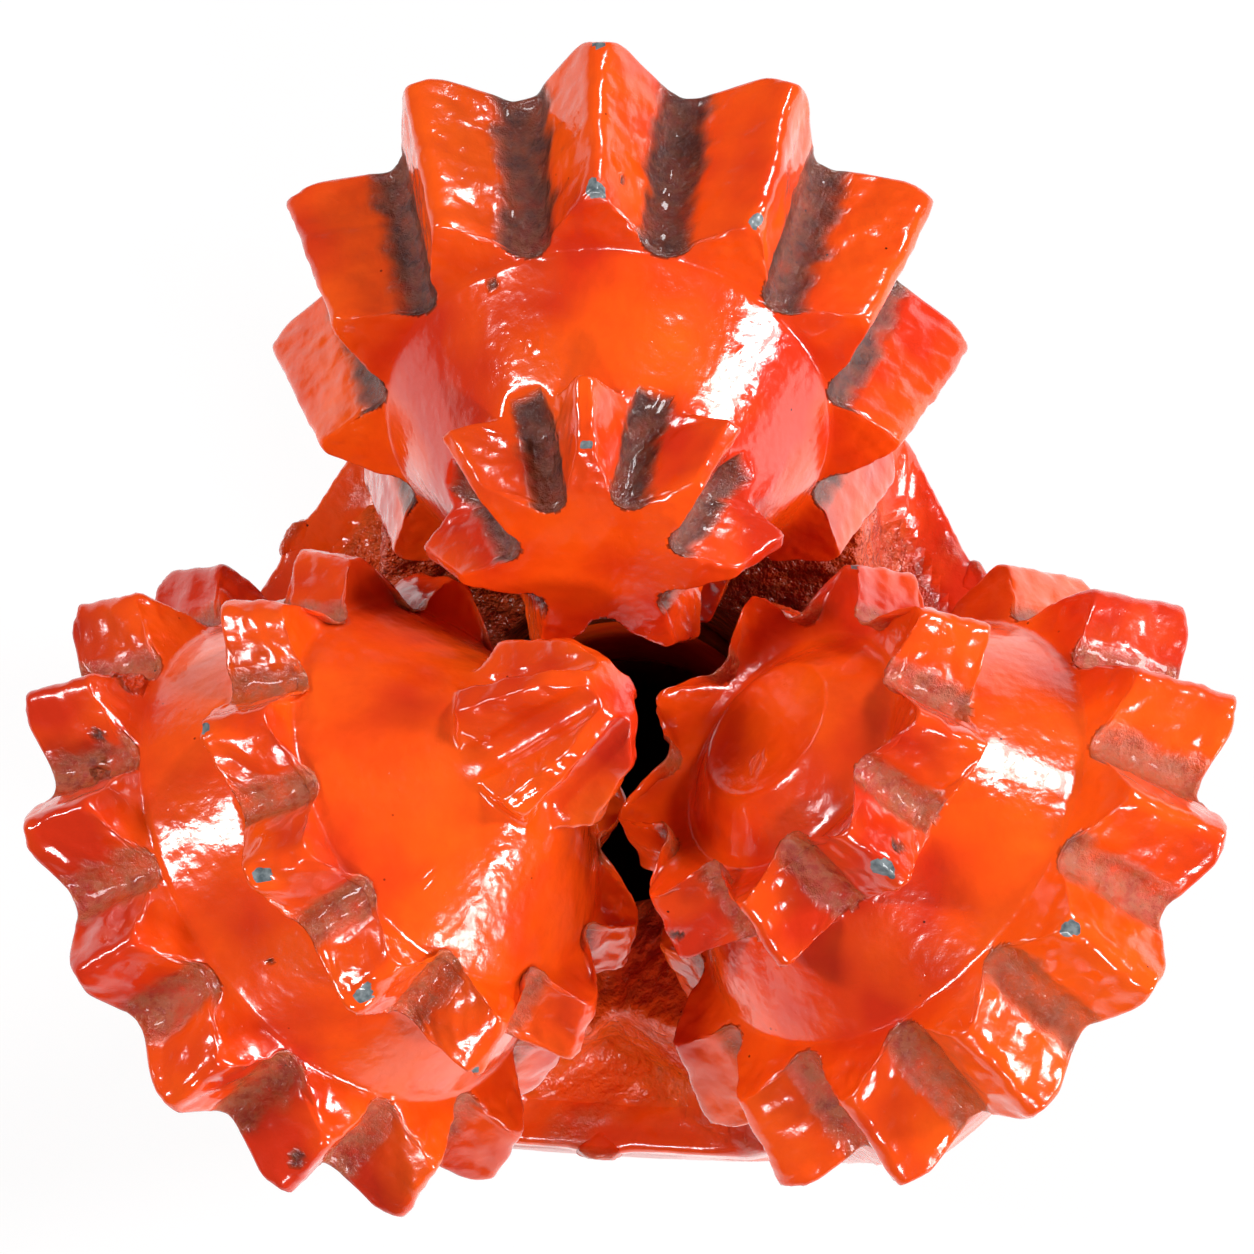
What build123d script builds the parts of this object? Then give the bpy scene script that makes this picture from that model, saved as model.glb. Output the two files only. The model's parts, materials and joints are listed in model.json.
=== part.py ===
"""Three-cone rotary rock bit with milled teeth, standing on the end of its pin, cones up.

Millimetres.  The bit axis is +Z, the pin end face is z = 0, leg 1 stands at azimuth 90 degrees,
leg 2 at 210 and leg 3 at 330.  Each cone is drawn along its own axis: local +Z runs from the leg
to the nose, local +X is the side that cuts the bottom of the hole.  Stations called s are
measured along a cone axis from the point nearest the bit axis; they are negative toward the leg.
"""
from build123d import *
import os
from math import sin, cos, tan, radians, sqrt, pi

os.makedirs("parts", exist_ok=True)

# ---- whole bit -------------------------------------------------------------------------------
GAUGE_D = 215.9            # hole size the heel teeth sweep, 8 1/2 in
LEG_AZ = (90.0, 210.0, 330.0)
JOURNAL_TILT = 40.0        # cone axis below the horizontal plane, degrees
CONE_OFFSET = 5.0          # cone axes pass this far beside the bit axis

# ---- pin and shank ---------------------------------------------------------------------------
PIN_LEN = 107.95           # shouldered rotary connection, 4 1/2 regular
PIN_BIG_D = 117.475
PIN_TAPER = 0.25           # on diameter
PIN_BASE_D = 115.9         # plain cylinder between thread and shoulder
PIN_BASE_LEN = 12.7
BEVEL_D = 135.7            # outer edge of the sealing shoulder
BORE_D = 57.15             # waterway
PIN_LEAD = 3.0             # chamfer on the pin end
BASE_LEAD = 1.0            # step from the taper to the plain base
BODY_H = 175.05            # from the shoulder up to where the cone axes come nearest the bit axis
HUB_R = 76.0               # round part of the shank between the legs
HUB_FLAT = 68.2            # flat faces between the legs, from the bit axis
RIM_DROP = 140.0           # top of the web between the legs, below the crossing of the axes
RIM_BAND = 6.5             # flat band round the top of the web
DISH_DROP = 8.0            # fall of the web from the band to the waterway

# ---- legs ------------------------------------------------------------------------------------
LEG_R = 97.0               # outer face of the leg round the journal
LEG_FOOT_R = 74.0          # outer face of the leg where it leaves the shank
LEG_FOOT = 8.5             # start of the leg above the shoulder
KNEE = 104.0               # the leg reaches full radius this far above the shoulder
KNEE_ROUND = 40.0
LEG_HALF = 40.0            # half width of the leg
LEG_SPREAD = 4.0           # the leg is this much wider at the web, and narrower at its foot
TAIL_R = 42.0              # rounded end of the leg round the journal, about the journal axis
CONE_GAP = 1.0             # leg face to cone back face

# ---- bearing ---------------------------------------------------------------------------------
RUN = 0.03                 # radial running clearance
END_PLAY = 0.2             # gaps along the axis at rollers and bushing
CONE_BACK_S = -90.5
FLANGE_R = 35.0            # journal root flange, closes the roller race
FLANGE_GAP = 1.0           # flange face inside the cone back face
RACE_R = 25.0              # roller race on the journal
ROLLER_R = 5.5
ROLLERS = 16
PIN_R = 27.0               # journal between rollers and nose
PIN_S = (-77.6, -58.0)
BALL_R = 6.35
BALL_S = -65.5
BALL_PITCH = 27.5
BALLS = 13
NOSE_PIN_R = 14.0
NOSE_PIN_S = -46.5
BUSH_WALL = 3.5
BUSH_S = (-57.6, -47.0)
BUTTON_R = 9.0
BUTTON_S = (-46.4, -42.2)
INNER_GAP = 1.0            # cone bore round the plain part of the journal
PLUG_R = 6.8
PLUG_FIT = 0.1             # passage radius over plug radius
PLUG_SLOPE = 45.0          # ball passage to the journal axis
WELD_THICK = 4.5
WELD_PROUD = 0.8

# ---- joints between the three thirds -----------------------------------------------------------
SEAM_DEPTH = 4.5
SEAM_HALF = 4.0
SEAM_CROWN = 1.6

# ---- cone outlines, each corner is (station, radius) --------------------------------------------
HEEL_S = -88.0             # station of the gauge corner
HEEL_SWING = 0.78          # the offset swings the gauge corner this much farther out
HEEL_1_FRONT = (-60.5, 51.0)
LEDGE_1 = (-59.3, 38.5)
DISH_1 = (-37.5, 25.5)
INNER_1_BACK = (-34.6, 32.2)
INNER_1_FRONT = (-24.6, 24.3)
NOSE_1 = (-22.6, 17.0)
TIP_1 = (-21.8, 0.0)
HEEL_2_FRONT = (-76.5, 57.6)
LEDGE_2 = (-74.0, 45.5)
DISH_2 = (-57.5, 40.0)
MIDDLE_2_BACK = (-54.5, 50.5)
MIDDLE_2_FRONT = (-44.5, 44.0)
THROAT_2 = (-46.5, 36.0)
NECK_2 = (-28.5, 15.0)
POINT_2_BACK = (-24.5, 18.3)
POINT_2_BROW = (-10.5, 12.5)
POINT_2_FRONT = (-4.5, 6.0)
TIP_2 = (-3.8, 0.0)
HEEL_3_FRONT = (-70.5, 54.3)
LEDGE_3 = (-69.5, 42.0)
DISH_3 = (-52.5, 31.0)
INNER_3_BACK = (-49.5, 40.0)
INNER_3_FRONT = (-36.3, 34.5)
NOSE_3_BASE = (-42.3, 22.3)
NOSE_3_RIM = (-34.8, 13.3)
TIP_3 = (-34.8, 0.0)
NOSE_ROUND = 3.0           # fillet at the foot of the flat nose

# ---- milled grooves: (radius of the channel, depth of the channel) ------------------------------
LAND = 1.6                 # width left on a tooth crest
POINT_LAND = 5.0           # the same on the ribs of the spear point
CUT_HEEL_1 = (4.9, 3.2)
CUT_HEEL = (4.3, 2.8)
CUT_INNER = (3.6, 2.4)
CUT_POINT = (3.4, 2.2)
CUT_OVER = 8.0             # a cut runs this far past the front of its row
CUT_LEAD = 4.0             # and this far behind the back of an inner row
CUT_RUN = 20.0             # length drawn behind the row before it is trimmed

CROSS_Z = PIN_LEN + BODY_H
RIM_Z = CROSS_Z - RIM_DROP
BEVEL_H = HUB_R - BEVEL_D / 2
BACK_S = CONE_BACK_S - CONE_GAP
FLANGE_S = CONE_BACK_S + FLANGE_GAP
ROLLER_S = (FLANGE_S + END_PLAY, PIN_S[0] - END_PLAY)
NOSE_BORE_R = NOSE_PIN_R + RUN + BUSH_WALL
ROLLER_PITCH = RACE_R + RUN + ROLLER_R
CONE_RACE_R = ROLLER_PITCH + ROLLER_R + RUN
BALL_RACE_R = BALL_R + RUN
HEEL_R = (GAUGE_D / 2 - HEEL_SWING + HEEL_S * cos(radians(JOURNAL_TILT))) / sin(radians(JOURNAL_TILT))
HEEL_BACK = (HEEL_S, HEEL_R)
HEEL_BASE = (CONE_BACK_S, HEEL_R - (HEEL_S - CONE_BACK_S) / tan(radians(JOURNAL_TILT)))
FAR = 4 * LEG_R            # longer than any piece, for cutting shapes

# a row of teeth: count, azimuth of the first, crest from back to front, flank angle, channel
CONES = {
    "cone_1": dict(
        outline=[HEEL_1_FRONT, LEDGE_1, DISH_1, INNER_1_BACK, INNER_1_FRONT, NOSE_1, TIP_1],
        rows=[dict(n=11, at=4.9, back=HEEL_BACK, front=HEEL_1_FRONT, flank=53, cut=CUT_HEEL_1),
              dict(n=7, at=7.1, back=INNER_1_BACK, front=INNER_1_FRONT, flank=49, cut=CUT_INNER)]),
    "cone_2": dict(
        outline=[HEEL_2_FRONT, LEDGE_2, DISH_2, MIDDLE_2_BACK, MIDDLE_2_FRONT, THROAT_2, NECK_2,
                 POINT_2_BACK, POINT_2_BROW, POINT_2_FRONT, TIP_2],
        rows=[dict(n=14, at=2.0, back=HEEL_BACK, front=HEEL_2_FRONT, flank=50, cut=CUT_HEEL),
              dict(n=11, at=2.8, back=MIDDLE_2_BACK, front=MIDDLE_2_FRONT, flank=54, cut=CUT_INNER),
              dict(n=5, at=37.0, back=POINT_2_BACK, front=POINT_2_FRONT, flank=54, cut=CUT_POINT,
                   land=POINT_LAND)]),
    "cone_3": dict(
        outline=[HEEL_3_FRONT, LEDGE_3, DISH_3, INNER_3_BACK, INNER_3_FRONT,
                 (*NOSE_3_BASE, NOSE_ROUND), NOSE_3_RIM, TIP_3],
        rows=[dict(n=13, at=26.4, back=HEEL_BACK, front=HEEL_3_FRONT, flank=52, cut=CUT_HEEL),
              dict(n=9, at=-15.8, back=INNER_3_BACK, front=INNER_3_FRONT, flank=53, cut=CUT_INNER)]),
}


def journal_plane(azimuth):
    """Local frame of one cone axis: X toward the hole bottom, Z toward the nose."""
    a, b = radians(azimuth), radians(JOURNAL_TILT)
    nose = Vector(-cos(a) * cos(b), -sin(a) * cos(b), sin(b))
    down = Vector(cos(a) * sin(b), sin(a) * sin(b), cos(b))
    side = Vector(-sin(a), cos(a), 0)
    return Plane(origin=Vector(0, 0, CROSS_Z) + side * CONE_OFFSET, x_dir=down, z_dir=nose)


def turned(points):
    """Solid of revolution about local Z from (station, radius) or (station, radius, rounding)."""
    corners = [(p[1], p[0]) for p in points]
    with BuildSketch(Plane.XZ) as sketch:
        with BuildLine():
            Polyline(*corners, close=True)
        make_face()
        for p in points:
            if len(p) > 2:
                here = min(sketch.vertices(), key=lambda v: (v.X - p[1]) ** 2 + (v.Z - p[0]) ** 2)
                fillet(here, p[2])
    return revolve(sketch.sketch, Axis.Z, 360)


def rod(radius, low, high):
    return Pos(0, 0, low) * Cylinder(radius, high - low, align=(Align.CENTER, Align.CENTER, Align.MIN))


def channel_half(row):
    """Half width of the round channel at the bottom of a groove."""
    radius, depth = row["cut"]
    return sqrt(radius ** 2 - (radius - depth) ** 2)


def floor_radius(crest_r, row):
    """Radius of a groove floor that leaves the land on the crest at this radius."""
    half = pi / row["n"] - row.get("land", LAND) / 2 / crest_r
    flank = (crest_r * sin(half) - channel_half(row)) / tan(radians(row["flank"]))
    return crest_r * cos(half) - row["cut"][1] - flank


def groove(row):
    """One milled groove between two teeth, at local azimuth 0: a round channel with straight flanks."""
    (s0, r0), (s1, r1) = row["back"], row["front"]
    floor0, floor1 = floor_radius(r0, row), floor_radius(r1, row)
    run = Vector(floor1 - floor0, 0, s1 - s0).normalized()
    out = Vector(run.Z, 0, -run.X)
    start = Vector(floor0, 0, s0) - run * CUT_RUN
    low = s0 - CUT_LEAD if s0 > HEEL_S else CONE_BACK_S - CONE_GAP
    edge, half = row["cut"][1], channel_half(row)
    top = edge + HEEL_R
    wide = half + HEEL_R * tan(radians(row["flank"]))
    with BuildSketch(Plane(origin=start, x_dir=out, z_dir=run)) as sketch:
        with BuildLine():
            Polyline((edge, half), (top, wide), (top, -wide), (edge, -half))
            ThreePointArc((edge, -half), (0, 0), (edge, half))
        make_face()
    return extrude(sketch.sketch, (s1 - s0) / run.Z + CUT_RUN + CUT_OVER) & rod(2 * HEEL_R, low, 0)


def make_cone(spec):
    body = turned([(CONE_BACK_S, 0), HEEL_BASE, HEEL_BACK] + spec["outline"])
    for row in spec["rows"]:
        cut = groove(row)
        body -= [Rot(0, 0, row["at"] + (k + 0.5) * 360 / row["n"]) * cut for k in range(row["n"])]
    body -= rod(CONE_RACE_R, CONE_BACK_S - CONE_GAP, PIN_S[0])
    body -= rod(PIN_R + INNER_GAP, PIN_S[0] - CONE_GAP, BUSH_S[0] - END_PLAY)
    body -= rod(NOSE_BORE_R, BUSH_S[0] - CONE_GAP, BUTTON_S[0])
    body -= rod(BUTTON_R, BUTTON_S[0] - CONE_GAP, BUTTON_S[1])
    return body - race()


def race():
    """Round race shared by cone and journal, in which the balls run."""
    return Pos(0, 0, BALL_S) * Torus(BALL_PITCH, BALL_RACE_R)


def passage(radius, start, end):
    """Rod along the ball passage: it meets the ball race and runs out through the leg."""
    lean = Rot(0, 180 - PLUG_SLOPE, 0)
    return Pos(-BALL_PITCH, 0, BALL_S) * lean * rod(radius, start, end)


def journal():
    body = rod(FLANGE_R, BACK_S - FLANGE_GAP, FLANGE_S) + rod(RACE_R, FLANGE_S, PIN_S[0])
    body += rod(PIN_R, *PIN_S) + rod(NOSE_PIN_R, PIN_S[1], NOSE_PIN_S)
    return body - race()


def wedge_third(azimuth):
    """Prism holding one third of the bit."""
    sides = [(FAR * cos(radians(azimuth + a)), FAR * sin(radians(azimuth + a))) for a in (-60, 0, 60)]
    with BuildSketch(Plane.XY) as sketch:
        with BuildLine():
            Polyline((0, 0), *sides, close=True)
        make_face()
    return extrude(sketch.sketch, FAR)


def make_pin():
    """Tapered pin that carries the thread, with its plain base and the waterway."""
    base_low = PIN_LEN - PIN_BASE_LEN
    taper_top = base_low - BASE_LEAD
    r_base = PIN_BASE_D / 2
    r_top = PIN_BIG_D / 2 - PIN_TAPER / 2 * (PIN_LEN - taper_top)
    r_low = PIN_BIG_D / 2 - PIN_TAPER / 2 * PIN_LEN
    return turned([(0, BORE_D / 2), (0, r_low - PIN_LEAD), (PIN_LEAD, r_low), (taper_top, r_top),
                   (base_low, r_base), (PIN_LEN, r_base), (PIN_LEN, BORE_D / 2)])


def make_hub():
    """Shoulder and the web between the legs as one turned piece with three flats."""
    bore = BORE_D / 2
    shank = turned([(PIN_LEN, bore), (PIN_LEN, BEVEL_D / 2), (PIN_LEN + BEVEL_H, HUB_R), (RIM_Z, HUB_R),
                    (RIM_Z, HUB_FLAT - RIM_BAND), (RIM_Z - DISH_DROP, bore)])
    for az in LEG_AZ:
        flat = Pos(HUB_FLAT + HUB_R / 2, 0, RIM_Z) * Box(HUB_R, 2 * HUB_R, 2 * (RIM_Z - PIN_LEN - BEVEL_H))
        shank -= Rot(0, 0, az + 60) * flat
    return shank


def leg_column():
    """Arm of the leg at azimuth 0 before its face behind the cone is cut."""
    foot = PIN_LEN + LEG_FOOT
    outer = turned([(foot, 0), (foot, LEG_FOOT_R), (PIN_LEN + KNEE, LEG_R, KNEE_ROUND), (CROSS_Z, LEG_R),
                    (CROSS_Z, 0)])
    tilt = radians(JOURNAL_TILT)
    tip = CROSS_Z + BACK_S * sin(tilt)
    wide, narrow = LEG_HALF + LEG_SPREAD, LEG_HALF - LEG_SPREAD
    with BuildSketch(Plane.YZ) as sketch:
        with Locations((CONE_OFFSET, tip)):
            Ellipse(TAIL_R, TAIL_R * cos(tilt))
        with BuildLine():
            Polyline((CONE_OFFSET - TAIL_R, tip), (CONE_OFFSET + TAIL_R, tip), (wide, RIM_Z),
                     (narrow, foot), (-narrow, foot), (-wide, RIM_Z), close=True)
        make_face()
    return outer & extrude(sketch.sketch, FAR)


def make_leg(azimuth, shank, column):
    frame = journal_plane(azimuth).location
    behind = frame * Pos(0, 0, BACK_S - FAR / 2) * Box(FAR, FAR, FAR)
    arm = (Rot(0, 0, azimuth) * column) & behind
    arm -= Cylinder(BORE_D / 2, 2 * FAR)
    body = (shank + arm) & wedge_third(azimuth)
    for side in (-60, 60):
        body -= seam_prism(azimuth + side)
    body += frame * journal()
    return body - frame * passage(PLUG_R + PLUG_FIT, 0, LEG_R)


def seam_prism(azimuth):
    """Weld groove down the outside of a joint between two thirds."""
    low = PIN_LEN + BEVEL_H
    deep, mouth = HUB_FLAT - SEAM_DEPTH, SEAM_HALF * (1 + SEAM_CROWN / SEAM_DEPTH)
    with BuildSketch(Plane.XY.offset(low)) as sketch:
        with BuildLine():
            Polyline((deep, 0), (HUB_FLAT + SEAM_CROWN, mouth), (HUB_FLAT + SEAM_CROWN, -mouth), close=True)
        make_face()
    return Rot(0, 0, azimuth) * extrude(sketch.sketch, RIM_Z - low)


def make_seam(azimuth):
    """Weld bead that fills the groove and stands a little proud of the flat."""
    low = PIN_LEN + BEVEL_H
    with BuildSketch(Plane.XY.offset(low)) as sketch:
        with BuildLine():
            Line((HUB_FLAT, -SEAM_HALF), (HUB_FLAT - SEAM_DEPTH, 0))
            Line((HUB_FLAT - SEAM_DEPTH, 0), (HUB_FLAT, SEAM_HALF))
            ThreePointArc((HUB_FLAT, SEAM_HALF), (HUB_FLAT + SEAM_CROWN, 0), (HUB_FLAT, -SEAM_HALF))
        make_face()
    return Rot(0, 0, azimuth) * extrude(sketch.sketch, RIM_Z - low)


def make_ball_plug(frame):
    """Plug that holds the balls in, its inner end shaped to the race, its outer end under the weld."""
    inner = passage(PLUG_R, 0, BALL_PITCH) & (rod(RACE_R, BACK_S, PIN_S[0]) + rod(PIN_R, *PIN_S))
    whole = (inner - race()) + passage(PLUG_R, BALL_PITCH, LEG_R)
    return (frame * whole) & Cylinder(LEG_R - WELD_THICK, 2 * FAR)


def make_plug_weld(frame):
    shell = Cylinder(LEG_R + WELD_PROUD, 2 * FAR) - Cylinder(LEG_R - WELD_THICK, 3 * FAR)
    return (frame * passage(PLUG_R + PLUG_FIT, BALL_PITCH, LEG_R)) & shell


def ring(piece, count):
    return Compound(children=[Rot(0, 0, k * 360 / count) * piece for k in range(count)])


def save(name, shape, color):
    shape.color = Color(*color)
    export_step(shape, f"parts/{name}.step")


def main():
    paint, steel, bronze = (0.9, 0.28, 0.08), (0.6, 0.62, 0.65), (0.72, 0.5, 0.25)
    shank, column = make_hub(), leg_column()
    roller = Pos(ROLLER_PITCH, 0, 0) * rod(ROLLER_R, *ROLLER_S)
    ball = Pos(BALL_PITCH, 0, BALL_S) * Sphere(BALL_R)
    bush = rod(NOSE_BORE_R, *BUSH_S) - rod(NOSE_PIN_R + RUN, *BUSH_S)
    save("pin", make_pin(), paint)
    for i, az in enumerate(LEG_AZ, 1):
        frame = journal_plane(az).location
        save(f"leg_{i}", make_leg(az, shank, column), paint)
        save(f"cone_{i}", frame * make_cone(CONES[f"cone_{i}"]), paint)
        save(f"rollers_{i}", frame * ring(roller, ROLLERS), steel)
        save(f"balls_{i}", frame * ring(ball, BALLS), steel)
        save(f"nose_bushing_{i}", frame * bush, bronze)
        save(f"thrust_button_{i}", frame * rod(BUTTON_R, *BUTTON_S), steel)
        save(f"ball_plug_{i}", make_ball_plug(frame), steel)
        save(f"plug_weld_{i}", make_plug_weld(frame), paint)
        save(f"body_weld_{i}", make_seam(az - 60), paint)


main()
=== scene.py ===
"""Finish of a three-cone rock bit: painted, hardfaced cones over a welded body, standing on its pin.

Lengths are in millimetres until a mesh is set in place. A cone is made in its own frame, where
the station runs along its axis and the radius is measured from it.
"""
import json
import math

import bmesh
import bpy
import numpy as np
from mathutils import Matrix, Vector, noise

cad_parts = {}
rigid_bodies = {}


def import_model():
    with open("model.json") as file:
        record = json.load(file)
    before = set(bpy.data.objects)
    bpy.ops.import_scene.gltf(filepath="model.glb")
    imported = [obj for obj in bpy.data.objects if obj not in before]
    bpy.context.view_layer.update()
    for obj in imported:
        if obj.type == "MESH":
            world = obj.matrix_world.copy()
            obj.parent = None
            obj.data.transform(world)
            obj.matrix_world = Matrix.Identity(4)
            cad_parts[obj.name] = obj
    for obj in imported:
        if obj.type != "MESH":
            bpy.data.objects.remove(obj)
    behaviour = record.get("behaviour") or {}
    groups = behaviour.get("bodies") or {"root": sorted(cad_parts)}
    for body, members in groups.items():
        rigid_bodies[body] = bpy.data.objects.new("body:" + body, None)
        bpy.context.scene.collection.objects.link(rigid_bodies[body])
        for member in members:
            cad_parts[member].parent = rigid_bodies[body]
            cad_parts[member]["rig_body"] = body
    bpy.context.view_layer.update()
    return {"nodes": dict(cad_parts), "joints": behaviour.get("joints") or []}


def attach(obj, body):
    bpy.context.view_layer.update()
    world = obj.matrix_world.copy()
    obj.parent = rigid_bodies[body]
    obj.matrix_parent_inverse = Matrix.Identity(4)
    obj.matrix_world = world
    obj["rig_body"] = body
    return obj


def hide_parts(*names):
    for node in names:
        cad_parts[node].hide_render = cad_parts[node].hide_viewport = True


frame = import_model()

MM = 0.001

# ---- cones: (station, radius) ------------------------------------------------------------------
LEGS = (1, 2, 3)
STEPS = 540                # columns round a cone
PITCH = 0.85               # rows along its outline
LAND = 1.6                                    # crest width left between two grooves
BACK = (-90.5, 58.87)                         # outer corner of the back face
GAUGE = (-88.0, 61.85)                        # corner that cuts the hole to size
BEARING = [(-42.3, 0.0), (-42.3, 9.0), (-46.4, 9.0), (-46.4, 17.6), (-57.8, 17.6), (-57.8, 28.0),
           (-77.6, 28.0), (-77.6, 36.1), (-90.5, 36.1)]

# a row: teeth, azimuth of the first, crest from back to front, flank angle, channel radius and depth
HEEL_1 = dict(n=11, at=4.9, back=GAUGE, front=(-60.5, 51.0), flank=53, rho=4.9, edge=3.2)
HEEL_2 = dict(n=14, at=2.0, back=GAUGE, front=(-76.5, 57.6), flank=50, rho=4.3, edge=2.8)
HEEL_3 = dict(n=13, at=26.4, back=GAUGE, front=(-70.5, 54.3), flank=52, rho=4.3, edge=2.8)
INNER_1 = dict(n=7, at=7.1, back=(-34.6, 32.2), front=(-24.6, 24.3), flank=49, rho=3.6, edge=2.4)
MIDDLE_2 = dict(n=11, at=2.8, back=(-54.5, 50.5), front=(-44.5, 44.0), flank=54, rho=3.6, edge=2.4)
POINT_2 = dict(n=5, at=37.0, back=(-24.5, 18.3), front=(-4.5, 6.0), flank=54, rho=3.4, edge=2.2,
               land=5.0)
INNER_3 = dict(n=9, at=-15.8, back=(-49.5, 40.0), front=(-36.3, 34.5), flank=53, rho=3.6, edge=2.4)

# The last figure of each cone darkens its groove floors, partly as dirt and partly as painted shade;
# cone 1's most.
CONES = {
    1: dict(outline=[(-60.5, 51.0), (-59.3, 38.5), (-37.5, 25.5), (-34.6, 32.2), (-24.6, 24.3),
                     (-22.6, 17.0), (-21.8, 0.0)], rows=[HEEL_1, INNER_1], lump=0.28, stain=0.9),
    2: dict(outline=[(-76.5, 57.6), (-74.0, 45.5), (-57.5, 40.0), (-54.5, 50.5), (-44.5, 44.0),
                     (-46.5, 36.0), (-28.5, 15.0), (-24.5, 18.3), (-10.5, 12.5), (-4.5, 6.0),
                     (-3.8, 0.0)], rows=[HEEL_2, MIDDLE_2, POINT_2], lump=0.50, stain=0.0),
    3: dict(outline=[(-70.5, 54.3), (-69.5, 42.0), (-52.5, 31.0), (-49.5, 40.0), (-36.3, 34.5),
                     (-41.1, 24.6), (-42.0, 23.3), (-41.6, 21.6), (-34.8, 13.3), (-34.8, 0.0)],
            rows=[HEEL_3, INNER_3], lump=0.46, stain=0.08),
}

# ---- marks on each cone: (station, azimuth, size, radius) --------------------------------------
CHIPS = {1: [(-87.8, 4.9, 2.0, 61.8), (-61.2, 4.6, 2.4, 51.2), (-61.4, -27.8, 2.2, 51.3),
             (-25.0, 6.6, 1.5, 24.5)],
         2: [(-54.0, -29.9, 1.8, 50.3), (-51.8, 2.8, 2.2, 48.8), (-51.2, 35.5, 2.3, 48.4),
             (-53.9, 68.0, 1.4, 50.2)],
         3: [(-45.0, -17.0, 2.5, 38.0), (-71.4, -1.4, 2.0, 54.8), (-37.0, 104.0, 1.3, 34.6)]}
PITS = {1: [(-57.1, 33.7, 1.1, 37.4), (-66.2, -1.0, 0.7, 48.8), (-84.3, 134.9, 1.1, 59.6)],
        2: [(-79.0, -42.3, 1.3, 51.5), (-82.4, 51.0, 1.4, 58.6), (-66.0, 20.0, 0.6, 42.8)],
        3: [(-46.1, -9.4, 1.4, 35.0), (-45.0, -93.5, 0.9, 37.2), (-74.0, 46.4, 0.8, 51.5)]}
CLODS = {1: [], 2: [(-76.0, -56.5, 3.6, 50.6), (-80.5, -36.5, 2.2, 50.0)], 3: []}
DROPS = {1: [(-46.4, 25.0, 1.5, 31.0), (-50.0, -42.0, 1.0, 33.0)], 2: [(-40.0, 30.0, 1.2, 28.4)],
         3: [(-34.8, -59.3, 1.7, 6.4), (-72.0, -60.0, 1.4, 53.0)]}

# ---- body and pin ------------------------------------------------------------------------------
PIN_LEN = 107.95
PIN_LOW_R = 45.245                            # crest radius at the foot of the thread
PIN_TOP_R = 56.744                            # and at its head
PIN_BASE_R = 57.95
THREAD_PITCH = 25.4 / 5
THREAD_DEEP = 3.0
THREAD_TOP = 91.0
BORE_R = 28.575
RIM_Z = 143.0                                 # height of the rim between the legs
FLANGE_Z = 116.0                              # where the flats under it begin
BACK_S = -91.5                                # station of the leg's face behind a cone
FLATS = (30.0, 150.0, 270.0)                  # azimuths of the flats between the legs


# ---- small helpers -----------------------------------------------------------------------------
def cone_frame(i):
    """Matrix from a cone's own frame to the bit's frame, read from its joint."""
    joint = next(j for j in frame["joints"] if j["name"] == f"cone_{i}_spin")
    point, axis = Vector(joint["pos_m"]), Vector(joint["axis"]).normalized()
    flat = Vector((axis.x, axis.y, 0))
    along = -(point.x * flat.x + point.y * flat.y) / flat.length_squared
    origin = point + axis * along
    side = Vector((axis.y, -axis.x, 0)).normalized()
    down = side.cross(axis)
    matrix = Matrix((down, side, axis)).transposed().to_4x4()
    matrix.translation = origin
    return matrix


def smooth_min(a, b, width):
    """The lesser of two values, with the change from one to the other rounded."""
    blend = np.maximum(width - np.abs(a - b), 0.0) / width
    return np.minimum(a, b) - blend * blend * width / 4


def ramp(x, low, high):
    """0 below low, 1 above high and a smooth rise between."""
    t = np.clip((x - low) / (high - low), 0.0, 1.0)
    return t * t * (3 - 2 * t)


def noise_at(points, size, seed, octaves=2):
    """Smooth noise from -1 to 1 at each point, with lumps of about the given size."""
    shift = Vector((seed * 17.3, seed * 5.1, seed * 9.7))
    out = np.empty(len(points))
    for k, p in enumerate(points):
        out[k] = noise.fractal(Vector(p) / size + shift, 1.0, 2.0, octaves)
    return out


def mesh_points(mesh):
    flat = np.empty(len(mesh.vertices) * 3)
    mesh.vertices.foreach_get("co", flat)
    return flat.reshape(-1, 3)


def mesh_normals(mesh):
    flat = np.empty(len(mesh.vertices) * 3)
    mesh.vertices.foreach_get("normal", flat)
    return flat.reshape(-1, 3)


def set_points(mesh, points):
    mesh.vertices.foreach_set("co", np.ascontiguousarray(points, dtype=np.float32).ravel())
    mesh.update()


def set_layer(mesh, name, values):
    layer = mesh.attributes.new(name, "FLOAT", "POINT")
    layer.data.foreach_set("value", np.ascontiguousarray(np.clip(values, 0, 1), dtype=np.float32))


def set_layers(mesh, **layers):
    """Every painted mesh carries the same four layers."""
    for name in ("grime", "stain", "bare", "cast"):
        set_layer(mesh, name, layers.get(name, np.zeros(len(mesh.vertices))))


def add_object(name, mesh, material):
    piece = bpy.data.objects.new(name, mesh)
    bpy.context.scene.collection.objects.link(piece)
    mesh.materials.clear()
    mesh.materials.append(material)
    mesh.polygons.foreach_set("use_smooth", [True] * len(mesh.polygons))
    return piece


def stand_for(piece, node):
    """Let the piece take the node's place on the node's own body."""
    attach(piece, frame["nodes"][node]["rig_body"])
    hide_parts(node)


# ---- cones -------------------------------------------------------------------------------------
def fine(outline, step):
    """The same outline with more points, about a step apart."""
    points = []
    for (s0, r0), (s1, r1) in zip(outline, outline[1:]):
        count = max(1, round(math.hypot(s1 - s0, r1 - r0) / step))
        points += [(s0 + (s1 - s0) * k / count, r0 + (r1 - r0) * k / count) for k in range(count)]
    return points + [outline[-1]]


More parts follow.
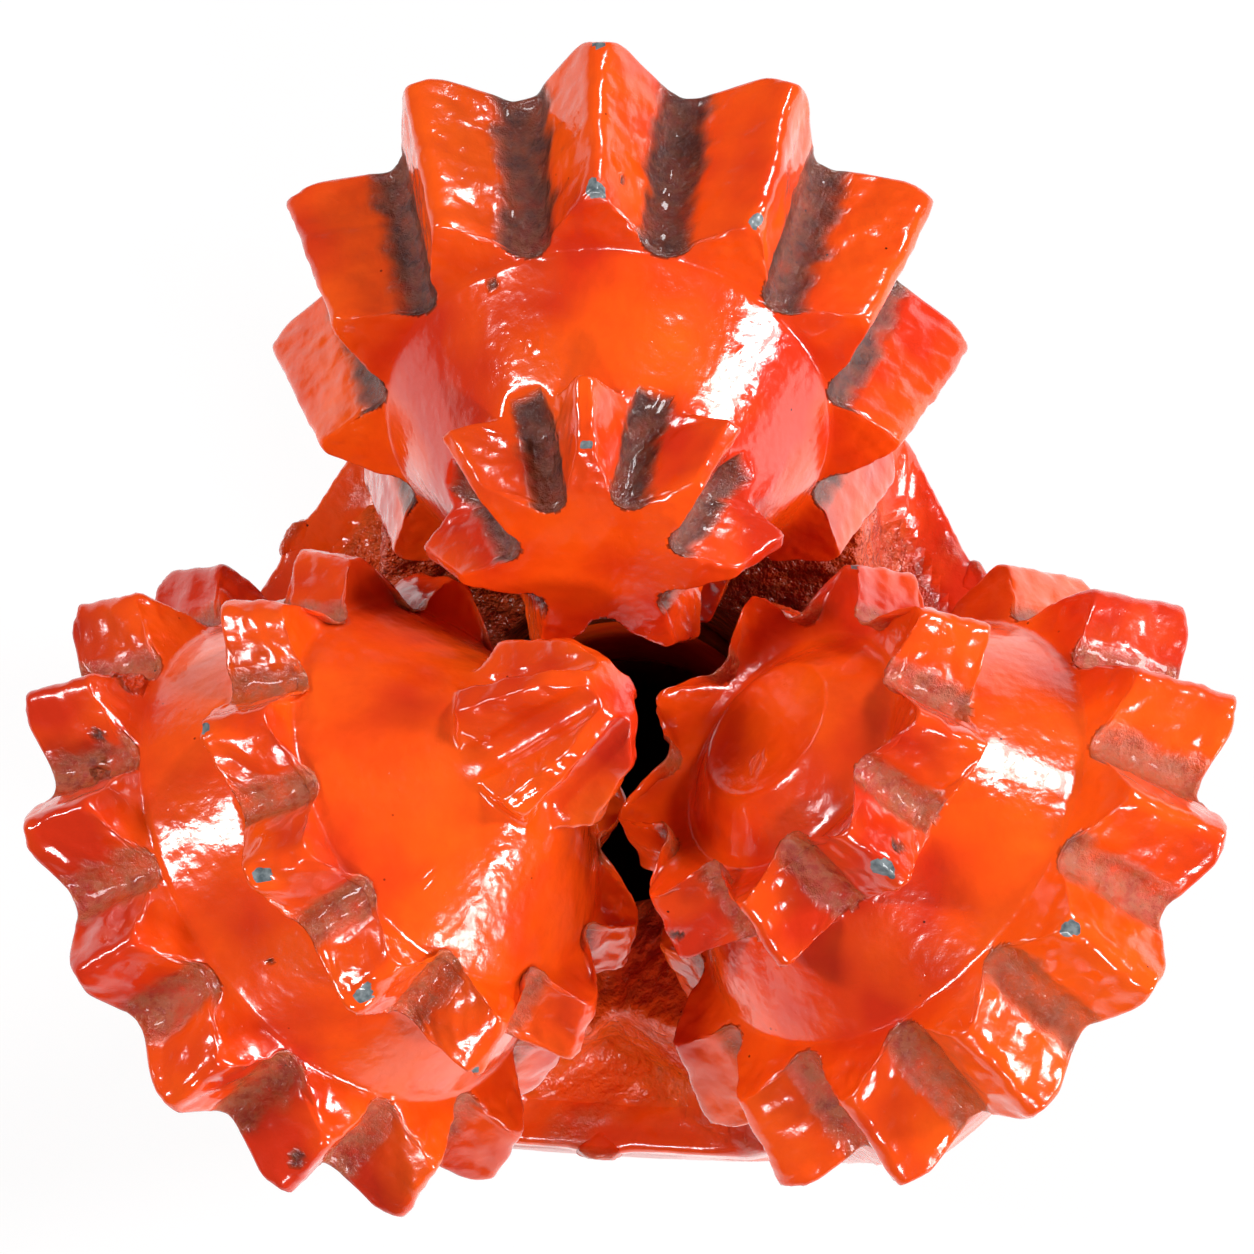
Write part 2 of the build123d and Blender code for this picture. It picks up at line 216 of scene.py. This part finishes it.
def turned(points, steps):
    """Surface of revolution about Z through (station, radius) points."""
    bm = bmesh.new()
    line = [bm.verts.new((r, 0, s)) for s, r in points]
    edges = [bm.edges.new(pair) for pair in zip(line, line[1:])]
    bmesh.ops.spin(bm, geom=line + edges, cent=(0, 0, 0), axis=(0, 0, 1), angle=math.tau,
                   steps=steps, use_merge=True, use_duplicate=False)
    bmesh.ops.remove_doubles(bm, verts=bm.verts, dist=1e-5)
    bmesh.ops.recalc_face_normals(bm, faces=bm.faces)
    mesh = bpy.data.meshes.new("turned")
    bm.to_mesh(mesh)
    bm.free()
    return mesh


def floor_radius(crest_r, row):
    """Radius of the groove's floor where the crest stands at the given radius."""
    half = math.pi / row["n"] - row.get("land", LAND) / 2 / crest_r
    wide = crest_r * math.sin(half) - channel_half(row)
    depth = row["edge"] + wide / math.tan(math.radians(row["flank"]))
    return crest_r * math.cos(half) - depth


def channel_half(row):
    """Half the width of the round channel, where the flanks start."""
    return math.sqrt(row["rho"] ** 2 - (row["rho"] - row["edge"]) ** 2)


def groove_radius(row, station, angle, wobble):
    """Radius to which the grooves of a row cut the blank, the groove floor, and the way across it."""
    (s0, r0), (s1, r1) = row["back"], row["front"]
    f0, f1 = floor_radius(r0, row), floor_radius(r1, row)
    slope = (f1 - f0) / (s1 - s0)
    lean = math.cos(math.atan(slope))
    floor = f0 + slope * (station - s0)
    if row["back"] is not GAUGE:
        floor = floor + np.maximum(s0 - 0.5 - station, 0.0) ** 2 / 4.0
    pitch = 2 * math.pi / row["n"]
    off = (angle + wobble - math.radians(row["at"])) / pitch
    phi = (off - np.floor(off) - 0.5) * pitch
    rho, edge, half = row["rho"], row["edge"], channel_half(row)
    t = math.tan(math.radians(row["flank"]))
    sine, cosine = np.abs(np.sin(phi)), np.cos(phi)
    under = lean * cosine - sine / t
    flank = np.where(under > 0.02, (floor * lean + edge - half / t) / np.maximum(under, 0.02), 1e3)
    a = (lean * cosine) ** 2 + sine ** 2
    b = -2 * lean * cosine * (floor * lean + rho)
    c = (floor * lean + rho) ** 2 - rho ** 2
    root = np.maximum(b * b - 4 * a * c, 0.0)
    channel = (-b - np.sqrt(root)) / (2 * a)
    inside = (channel * sine < half) & (b * b - 4 * a * c > 0)
    cut = np.where(inside, channel, flank)
    across = cut * np.sin(phi) / half
    return cut, floor, across


def near(marks, points):
    """0 to 1, how much each point lies inside one of the marks (station, azimuth, size, radius)."""
    out = np.zeros(len(points))
    for station, azimuth, size, radius in marks:
        a = math.radians(azimuth)
        gap = np.linalg.norm(points - [radius * math.cos(a), radius * math.sin(a), station], axis=1)
        out = np.maximum(out, 1 - ramp(gap, size * 0.75, size * 1.15))
    return out


def soften(mesh, keep, times):
    """Round the mesh's edges, leaving the marked vertices where they are."""
    bm = bmesh.new()
    bm.from_mesh(mesh)
    bm.verts.ensure_lookup_table()
    loose = [bm.verts[k] for k in np.flatnonzero(~keep)]
    for _ in range(times):
        bmesh.ops.smooth_vert(bm, verts=loose, factor=0.5,
                              use_axis_x=True, use_axis_y=True, use_axis_z=True)
    bm.to_mesh(mesh)
    bm.free()
    mesh.update()


def make_cone(i, paint):
    """Turn the blank, cut its rows of teeth, then round, roughen and mark the outside."""
    spec = CONES[i]
    outer = fine([BACK, GAUGE] + spec["outline"], PITCH)
    mesh = turned(BEARING + outer, STEPS)
    p = mesh_points(mesh)
    station, radius = p[:, 2].copy(), np.hypot(p[:, 0], p[:, 1])
    angle = np.arctan2(p[:, 1], p[:, 0])
    bore = np.zeros(len(p), bool)
    for s, r in BEARING:
        bore |= (np.abs(station - s) < 0.01) & (np.abs(radius - r) < 0.02)
    broad = noise_at(p, 9.0, i + 13, 1)
    coarse = noise_at(p, 4.0, i + 3)
    small = noise_at(p, 1.7, i + 8, 1)
    new = radius.copy()
    grime, tooth = np.zeros(len(p)), np.zeros(len(p))
    for row in spec["rows"]:
        wobble = 0.012 * broad * (row["n"] > 5)
        cut, floor, across = groove_radius(row, station, angle, wobble)
        (s0, _), (s1, _) = row["back"], row["front"]
        cut = np.where(station > s1 + 8.0, 1e3, cut)
        if row["back"] is not GAUGE:
            cut = np.where(station < s0 - 5.0, 1e3, cut)
        new = smooth_min(new, cut, 1.2)
        by = (station > s0 - 5.0) & (station < s1 + 3.0)
        tooth = np.maximum(tooth, by * ramp(new - floor, 1.5, 4.5))
        low = (1 - ramp(np.abs(across) + coarse * 0.3, 0.7, 1.25)) * (new < radius - 0.4)
        grime = np.maximum(grime, by * low * (row["n"] > 5))
        if row["back"] is GAUGE:
            lip = np.exp(-((station + 89.6) / 0.8) ** 2) * (1 - ramp(np.abs(across), 0.8, 1.1))
            new = new + lip * (1.3 + 0.8 * coarse) * (new < radius - 2.0)
    scale = np.where(bore, 1.0, np.where(radius > 1e-4, new / np.maximum(radius, 1e-4), 1.0))
    p[:, 0] *= scale
    p[:, 1] *= scale
    set_points(mesh, p)
    soften(mesh, bore, 2)
    p, n = mesh_points(mesh), mesh_normals(mesh)
    rough = p + np.stack([small, coarse, small - coarse], 1) * 1.1
    chips, pits, clods, drops = (near(marks[i], rough) for marks in (CHIPS, PITS, CLODS, DROPS))
    relief = (coarse * spec["lump"] + small * 0.16) * (0.07 + 0.93 * tooth) + broad * 0.12 - 0.1
    relief += -np.abs(small) * 0.5 * grime - chips * 0.4 - pits * 0.6 + clods * (0.7 + 0.8 * coarse)
    relief += np.sin(np.clip(drops, 0, 1) * math.pi) * 0.3
    face = ramp(station, BACK[0] + 0.1, BACK[0] + 1.2) * ~bore
    p = p + n * (relief * face)[:, None]
    set_points(mesh, p * MM)
    # Groove floors also take the cone's darkening, partly dirt and partly painted shade, on the same
    # layer as the pits.
    set_layers(mesh, grime=np.maximum(grime, pits), stain=np.maximum(pits, grime * spec["stain"]),
               bare=chips, cast=clods)
    mesh.transform(cone_frame(i))
    mesh.update()
    piece = add_object(f"toothed_cone_{i}", mesh, paint)
    stand_for(piece, f"cone_{i}")


# ---- body --------------------------------------------------------------------------------------
def remeshed(nodes, voxel):
    """Own copy of the solids' meshes, merged and remeshed even, ready to be worked on."""
    bm = bmesh.new()
    for node in nodes:
        bm.from_mesh(frame["nodes"][node].data)
    bmesh.ops.remove_doubles(bm, verts=bm.verts, dist=1e-6)
    mesh = bpy.data.meshes.new("merged")
    bm.to_mesh(mesh)
    bm.free()
    work = bpy.data.objects.new("work", mesh)
    bpy.context.scene.collection.objects.link(work)
    step = work.modifiers.new("even", "REMESH")
    step.mode = "VOXEL"
    step.voxel_size = voxel * MM
    even = bpy.data.meshes.new_from_object(work.evaluated_get(bpy.context.evaluated_depsgraph_get()))
    bpy.data.objects.remove(work)
    soften(even, np.zeros(len(even.vertices), bool), 1)
    return even


def toward(p, azimuth):
    """How far each point lies along an azimuth, and how far to the side of it."""
    a = math.radians(azimuth)
    along = p[:, 0] * math.cos(a) + p[:, 1] * math.sin(a)
    return along, -p[:, 0] * math.sin(a) + p[:, 1] * math.cos(a)


def flare(p):
    """Lean the flats between the legs outward toward the rim, and draw the flange under them in."""
    out = p.copy()
    up = np.clip((p[:, 2] - FLANGE_Z) / (RIM_Z - FLANGE_Z), 0, 1)
    for azimuth in FLATS:
        a = math.radians(azimuth)
        along, aside = toward(p, azimuth)
        wide = (1 - ramp(np.abs(aside), 26, 37)) * (p[:, 2] > PIN_LEN + 0.3)
        moved = along + (up * 2.3 + 1.0) * ramp(along, 48, 62) * (along > 0) * (p[:, 2] < RIM_Z + 3)
        limit = 69.2 + up * 4.2
        moved = np.where(along > 60, np.minimum(moved, limit), moved)
        push = (moved - along) * wide
        out[:, 0] += push * math.cos(a)
        out[:, 1] += push * math.sin(a)
    return out


def make_casting(paint):
    """The three welded legs with the shank and the web between them."""
    solids = [f"{kind}_{i}" for kind in ("leg", "body_weld") for i in LEGS]   # welds fill the seams
    mesh = remeshed(solids, 1.6)
    p, n = mesh_points(mesh) / MM, mesh_normals(mesh)
    radius = np.hypot(p[:, 0], p[:, 1])
    face = ramp(p[:, 2], PIN_LEN + 0.5, PIN_LEN + 3.0) * ramp(radius, BORE_R + 0.2, BORE_R + 2.5)
    for i in LEGS:
        to_cone = np.array(cone_frame(i).inverted()).T
        local = (np.c_[p * MM, np.ones(len(p))] @ to_cone)[:, :3] / MM
        off_axis = np.hypot(local[:, 0], local[:, 1])
        face *= 1 - ramp(local[:, 2], BACK_S - 3.0, BACK_S - 0.5) * (off_axis < 70) * (radius > 20)
    distance = np.max([toward(p, azimuth)[0] for azimuth in FLATS], axis=0)
    web = ramp(p[:, 2], RIM_Z - 14, RIM_Z - 6) * (1 - ramp(distance, 58.5, 60.5))
    web = web * (1 - ramp(radius, 64, 70)) * (1 - ramp(p[:, 2], 175, 200))
    coarse, wave = noise_at(p, 3.4, 30, 2), noise_at(p, 14.0, 40, 2)
    edge = np.exp(-((distance - 61.5) / 1.3) ** 2) * (np.abs(p[:, 2] - RIM_Z) < 2.5)
    relief = coarse * (0.06 + 0.95 * web) + wave * 0.30 - 0.1 + edge * (0.5 + coarse * 1.3)
    p = flare(p + n * (relief * face)[:, None])
    set_points(mesh, p * MM)
    soot = ramp(noise_at(p, 12.0, 60, 3), 0.05, 0.6)
    front = (p[:, 1] < -20) * (1 - ramp(np.abs(p[:, 0]), 25, 40))
    # Painted shade: the body's centre between and under the cones is darkened, less far out toward the
    # front.
    centre_shade = (1 - ramp(radius, 30.0, 58.0 - 20 * front)) * (p[:, 2] > PIN_LEN + 2)
    web = web * (1 - 0.7 * front)
    set_layers(mesh, grime=np.maximum(web * 0.55, soot * 0.5),
               stain=centre_shade * 0.6 + soot * 0.08, cast=web)
    piece = add_object("welded_body", mesh, paint)
    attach(piece, "bit_body")
    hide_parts(*[f"leg_{i}" for i in LEGS])


def make_bead(node, name, paint, ripple, lump):
    """Weld metal: an even copy of the solid with ripples along it and lumps all over."""
    mesh = remeshed([node], 0.7)
    p, n = mesh_points(mesh) / MM, mesh_normals(mesh)
    radius = np.hypot(p[:, 0], p[:, 1])
    proud = ramp(radius, radius.max() - 2.2, radius.max() - 1.0)
    rows = np.sin(p[:, 2] / ripple * math.tau + noise_at(p, 4.0, 71) * 2.0) * 0.28
    p = flare(p + n * ((rows + noise_at(p, 2.2, 72) * lump + 0.35) * proud)[:, None])
    set_points(mesh, p * MM)
    set_layers(mesh, grime=ramp(-rows, 0.05, 0.25) * 0.5 * proud, stain=0.2 * proud)
    stand_for(add_object(name, mesh, paint), node)


def make_pin(paint):
    """Pin with its right-hand tapered thread cut into the outside."""
    outline = [(PIN_LEN, BORE_R), (0.0, BORE_R), (0.0, PIN_LOW_R - 3.0), (3.0, PIN_LOW_R)]
    outline += fine([(3.0, PIN_LOW_R), (94.25, PIN_TOP_R)], 0.42)[1:]
    outline += [(95.25, PIN_BASE_R), (PIN_LEN, PIN_BASE_R), (PIN_LEN, BORE_R)]
    mesh = turned(outline, 220)
    p = mesh_points(mesh)
    z, radius = p[:, 2], np.hypot(p[:, 0], p[:, 1])
    turn = z / THREAD_PITCH - np.arctan2(p[:, 1], p[:, 0]) / math.tau
    wave = 2 * np.abs(turn - np.floor(turn) - 0.5)
    depth = THREAD_DEEP * np.clip((wave - 0.14) / 0.72, 0.0, 1.0)
    on_taper = (radius > 44.0) & (z > 0.5) & (z < 94.3)
    fade = ramp(z, 0.5, 6.0) * (1 - ramp(z, THREAD_TOP - 4, THREAD_TOP + 2))
    cut = np.where(on_taper, depth * fade, 0.0)
    wear = noise_at(p, 8.0, 90) * 0.05
    scale = (radius - cut + np.where(on_taper, wear - 0.05, 0.0)) / np.maximum(radius, 1e-6)
    p[:, 0] *= scale
    p[:, 1] *= scale
    set_points(mesh, p * MM)
    groove = ramp(cut, 1.6, 2.9)
    set_layers(mesh, grime=groove * 0.55, stain=groove * 0.6)
    stand_for(add_object("threaded_pin", mesh, paint), "pin")


# ---- materials ---------------------------------------------------------------------------------
class Nodes:
    """Short way to add and join shader nodes."""

    def __init__(self, name):
        self.material = bpy.data.materials.new(name)
        self.material.use_nodes = True
        self.tree = self.material.node_tree
        self.tree.nodes.clear()
        self.out = self.add("ShaderNodeOutputMaterial")
        self.shader = self.add("ShaderNodeBsdfPrincipled")
        self.join((self.shader, "BSDF"), self.out, "Surface")
        self.coords = self.add("ShaderNodeTexCoord")

    def add(self, kind, **values):
        node = self.tree.nodes.new(kind)
        for key, value in values.items():
            setattr(node, key, value)
        return node

    def join(self, source, node, socket):
        self.tree.links.new(source[0].outputs[source[1]], node.inputs[socket])

    def feed(self, value, node, socket):
        """Link a (node, output) pair, or set a number or a colour."""
        if isinstance(value, tuple) and isinstance(value[0], bpy.types.Node):
            self.join(value, node, socket)
        elif isinstance(value, tuple):
            node.inputs[socket].default_value = (*value, 1.0)
        else:
            node.inputs[socket].default_value = value

    def layer(self, name):
        return self.add("ShaderNodeAttribute", attribute_name=name), "Fac"

    def noise(self, scale, detail=4.0, rough=0.55):
        node = self.add("ShaderNodeTexNoise")
        node.inputs["Scale"].default_value = scale
        node.inputs["Detail"].default_value = detail
        node.inputs["Roughness"].default_value = rough
        self.join((self.coords, "Object"), node, "Vector")
        return node, 0

    def cells(self, scale):
        node = self.add("ShaderNodeTexVoronoi")
        node.inputs["Scale"].default_value = scale
        self.join((self.coords, "Object"), node, "Vector")
        return node, "Distance"

    def ramp(self, source, stops):
        node = self.add("ShaderNodeValToRGB")
        self.join(source, node, "Fac")
        bar = node.color_ramp
        while len(bar.elements) < len(stops):
            bar.elements.new(0.5)
        for element, (place, colour) in zip(bar.elements, stops):
            element.position = place
            element.color = (*(colour if isinstance(colour, tuple) else (colour,) * 3), 1.0)
        return node, "Color"

    def math(self, operation, *values, clamp=False):
        node = self.add("ShaderNodeMath", operation=operation, use_clamp=clamp)
        for socket, value in enumerate(values):
            self.feed(value, node, socket)
        return node, "Value"

    def mix(self, factor, a, b, blend="MIX"):
        node = self.add("ShaderNodeMix", data_type="RGBA", blend_type=blend)
        self.feed(factor, node, 0)
        self.feed(a, node, 6)
        self.feed(b, node, 7)
        return node, 2

    def bump(self, height, strength, distance, below=None):
        node = self.add("ShaderNodeBump")
        node.inputs["Strength"].default_value = strength
        node.inputs["Distance"].default_value = distance
        self.join(height, node, "Height")
        if below:
            self.join(below, node, "Normal")
        return node, "Normal"


ORANGE = (0.86, 0.078, 0.003)
ORANGE_LIGHT = (0.93, 0.110, 0.005)
ORANGE_DEEP = (0.60, 0.026, 0.004)
RUST = (0.440, 0.092, 0.030)
DARK_RUST_AND_SHADE = (0.035, 0.009, 0.006)
STEEL = (0.17, 0.20, 0.21)


def paint_material(name, skin=0.25, coat=0.25):
    """Thick glossy orange paint; soil, bare steel and a darkening that is partly rust staining and
    partly painted shade come from the mesh's own layers.
    """
    m = Nodes(name)
    base = m.ramp(m.noise(24.0, 3.0), [(0.40, ORANGE_DEEP), (0.52, ORANGE), (0.64, ORANGE_LIGHT)])
    haze = m.ramp(m.noise(95.0, 5.0, 0.65), [(0.35, 0.0), (0.8, 0.45)])
    base = m.mix(haze, base, ORANGE_DEEP)
    grime, stain, bare, cast = (m.layer(n) for n in ("grime", "stain", "bare", "cast"))
    spots = m.math("MULTIPLY_ADD", m.noise(260.0, 6.0, 0.75), 3.4, -1.05, clamp=True)
    dirt = m.math("MULTIPLY", grime, spots, clamp=True)
    soil = m.ramp(m.noise(520.0, 4.0, 0.7), [(0.35, DARK_RUST_AND_SHADE), (0.52, RUST)])
    tone = m.mix(dirt, base, soil)
    # Darkening toward near-black: rust staining and pits, and painted shade in the cones' grooves and
    # the body's centre.
    shade = m.math("MULTIPLY", stain, m.ramp(m.noise(150.0, 4.0, 0.6), [(0.36, 1.0), (0.66, 0.62)]))
    tone = m.mix(shade, tone, DARK_RUST_AND_SHADE)
    pores = m.ramp(m.cells(210.0), [(0.035, 0.12), (0.06, 1.0)])
    rare = m.ramp(m.noise(38.0, 1.0), [(0.52, 0.0), (0.60, 1.0)])
    tone = m.mix(rare, tone, m.mix(1.0, tone, pores, "MULTIPLY"))
    ragged = m.math("ADD", bare, m.math("MULTIPLY_ADD", m.noise(700.0, 3.0), 0.6, -0.3))
    scraped = m.ramp(ragged, [(0.62, 0.0), (0.70, 1.0)])
    metal = m.ramp(m.noise(900.0, 4.0), [(0.35, (0.06, 0.08, 0.09)), (0.62, STEEL)])
    tone = m.mix(scraped, tone, metal)
    m.join(tone, m.shader, "Base Color")
    shine = m.ramp(m.noise(60.0, 4.0), [(0.3, 0.09), (0.7, 0.24)])
    dull = m.mix(dirt, shine, (0.20, 0.20, 0.20))
    m.join(m.mix(scraped, dull, (0.38, 0.38, 0.38)), m.shader, "Roughness")
    m.shader.inputs["Coat Weight"].default_value = coat
    m.shader.inputs["Coat Roughness"].default_value = 0.05
    sag = m.bump(m.noise(170.0, 2.0), 0.45, 0.0010)
    peel = m.bump(m.noise(520.0, 3.0), skin, 0.0004, sag)
    dust = m.bump(m.ramp(m.cells(620.0), [(0.0, 1.0), (0.16, 0.0)]), 0.12, 0.0003, peel)
    pitted = m.bump(m.math("MULTIPLY", m.noise(430.0, 5.0, 0.7), grime), 0.8, 0.0012, dust)
    grit = m.bump(m.math("MULTIPLY", m.noise(300.0, 3.0, 0.6), cast), 1.0, 0.0045, pitted)
    m.join(grit, m.shader, "Normal")
    return m.material


def metal_material(name, colour, roughness):
    """Ground metal with a fine grain."""
    m = Nodes(name)
    grain = m.noise(300.0, 5.0)
    dark = tuple(c * 0.75 for c in colour)
    m.join(m.ramp(grain, [(0.3, dark), (0.7, colour)]), m.shader, "Base Color")
    m.shader.inputs["Metallic"].default_value = 1.0
    m.join(m.ramp(grain, [(0.3, roughness), (0.7, roughness + 0.15)]), m.shader, "Roughness")
    m.join(m.bump(grain, 0.15, 0.0002), m.shader, "Normal")
    return m.material


# ---- stage -------------------------------------------------------------------------------------
def make_camera():
    """Camera high over the cones, leaning a little toward the side between legs 2 and 3."""
    tilt, roll, turn = math.radians(-7.6), math.radians(-0.85), math.radians(-3.55)
    away = 2.4
    pivot = Vector((0.0011, 0.0044, 0.283))
    spin = Matrix.Rotation(turn, 3, "Z") @ Matrix.Rotation(roll, 3, "Y") @ Matrix.Rotation(tilt, 3, "X")
    data = bpy.data.cameras.new("camera")
    data.sensor_width = 36.0
    data.lens = 405.4
    data.clip_end = 50.0
    camera = bpy.data.objects.new("camera", data)
    place = spin.transposed().to_4x4()
    place.translation = pivot + spin.transposed() @ Vector((0, 0, away))
    camera.matrix_world = place
    bpy.context.scene.collection.objects.link(camera)
    bpy.context.scene.camera = camera


def make_floor():
    """Pale floor that looks white from the camera; down the waterway it gets no glow and a near-black
    colour, painted shade.
    """
    bm = bmesh.new()
    bmesh.ops.create_grid(bm, x_segments=1, y_segments=1, size=6.0)
    mesh = bpy.data.meshes.new("floor")
    bm.to_mesh(mesh)
    bm.free()
    m = Nodes("floor_white")
    reach = m.add("ShaderNodeVectorMath", operation="LENGTH")
    m.join((m.coords, "Object"), reach, 0)
    outside_shade_disc = m.ramp(m.math("MULTIPLY", (reach, "Value"), 10.0), [(0.38, 0.0), (0.42, 1.0)])
    pale = m.ramp(m.noise(3.0, 2.0), [(0.3, 0.86), (0.7, 0.90)])
    # Near-black base colour inside the disc: painted shade down the waterway.
    m.join(m.mix(outside_shade_disc, (0.02, 0.015, 0.012), pale), m.shader, "Base Color")
    m.shader.inputs["Roughness"].default_value = 0.9
    glow = m.add("ShaderNodeEmission")
    path = m.add("ShaderNodeLightPath")
    direct = m.math("MULTIPLY", (path, "Is Camera Ray"), 0.85)
    seen = m.math("MULTIPLY_ADD", (path, "Is Glossy Ray"), 0.15, direct)
    share = m.math("MULTIPLY", seen, outside_shade_disc)
    both = m.add("ShaderNodeMixShader")
    m.join(share, both, 0)
    m.join((m.shader, 0), both, 1)
    m.join((glow, 0), both, 2)
    m.join((both, 0), m.out, "Surface")
    floor = bpy.data.objects.new("floor", mesh)
    bpy.context.scene.collection.objects.link(floor)
    mesh.materials.append(m.material)


def soft_box(name, place, size, power, aim=(0, 0, 0.25)):
    data = bpy.data.lights.new(name, "AREA")
    data.shape = "RECTANGLE"
    data.size, data.size_y = size
    data.energy = power
    lamp = bpy.data.objects.new(name, data)
    lamp.location = place
    lamp.rotation_mode = "QUATERNION"
    lamp.rotation_quaternion = (Vector(aim) - Vector(place)).to_track_quat("-Z", "Y")
    bpy.context.scene.collection.objects.link(lamp)


def make_lights():
    soft_box("right_box", (1.45, 0.28, 0.75), (0.24, 0.50), 17)
    soft_box("low_box", (1.30, -0.70, 0.62), (0.20, 0.42), 10)
    soft_box("back_box", (0.80, 1.15, 1.25), (0.22, 0.40), 14)
    soft_box("left_box", (-1.25, 0.20, 1.35), (0.20, 0.6), 17)
    soft_box("front_box", (0.10, -1.2, 1.5), (0.40, 0.18), 13)
    world = bpy.data.worlds.new("studio")
    world.use_nodes = True
    sky = world.node_tree.nodes["Background"]
    sky.inputs["Color"].default_value = (0.97, 0.98, 1.0, 1)
    sky.inputs["Strength"].default_value = 0.10
    bpy.context.scene.world = world
    bpy.context.scene.view_settings.view_transform = "Standard"


def main():
    make_camera()
    make_floor()
    make_lights()
    cone_paint = paint_material("cone_paint")
    body_paint = paint_material("body_paint", 0.30, 0.2)
    weld_paint = paint_material("weld_paint", 0.30, 0.3)
    steel = metal_material("bearing_steel", (0.55, 0.56, 0.58), 0.25)
    bronze = metal_material("bushing_bronze", (0.62, 0.42, 0.20), 0.3)
    for name, node in frame["nodes"].items():
        node.data.materials.clear()
        node.data.materials.append(bronze if name.startswith("nose_bushing") else steel)
    for i in LEGS:
        make_cone(i, cone_paint)
        make_bead(f"body_weld_{i}", f"seam_bead_{i}", weld_paint, 4.5, 0.4)
        make_bead(f"plug_weld_{i}", f"plug_bead_{i}", weld_paint, 3.0, 0.5)
    make_casting(body_paint)
    make_pin(body_paint)


main()
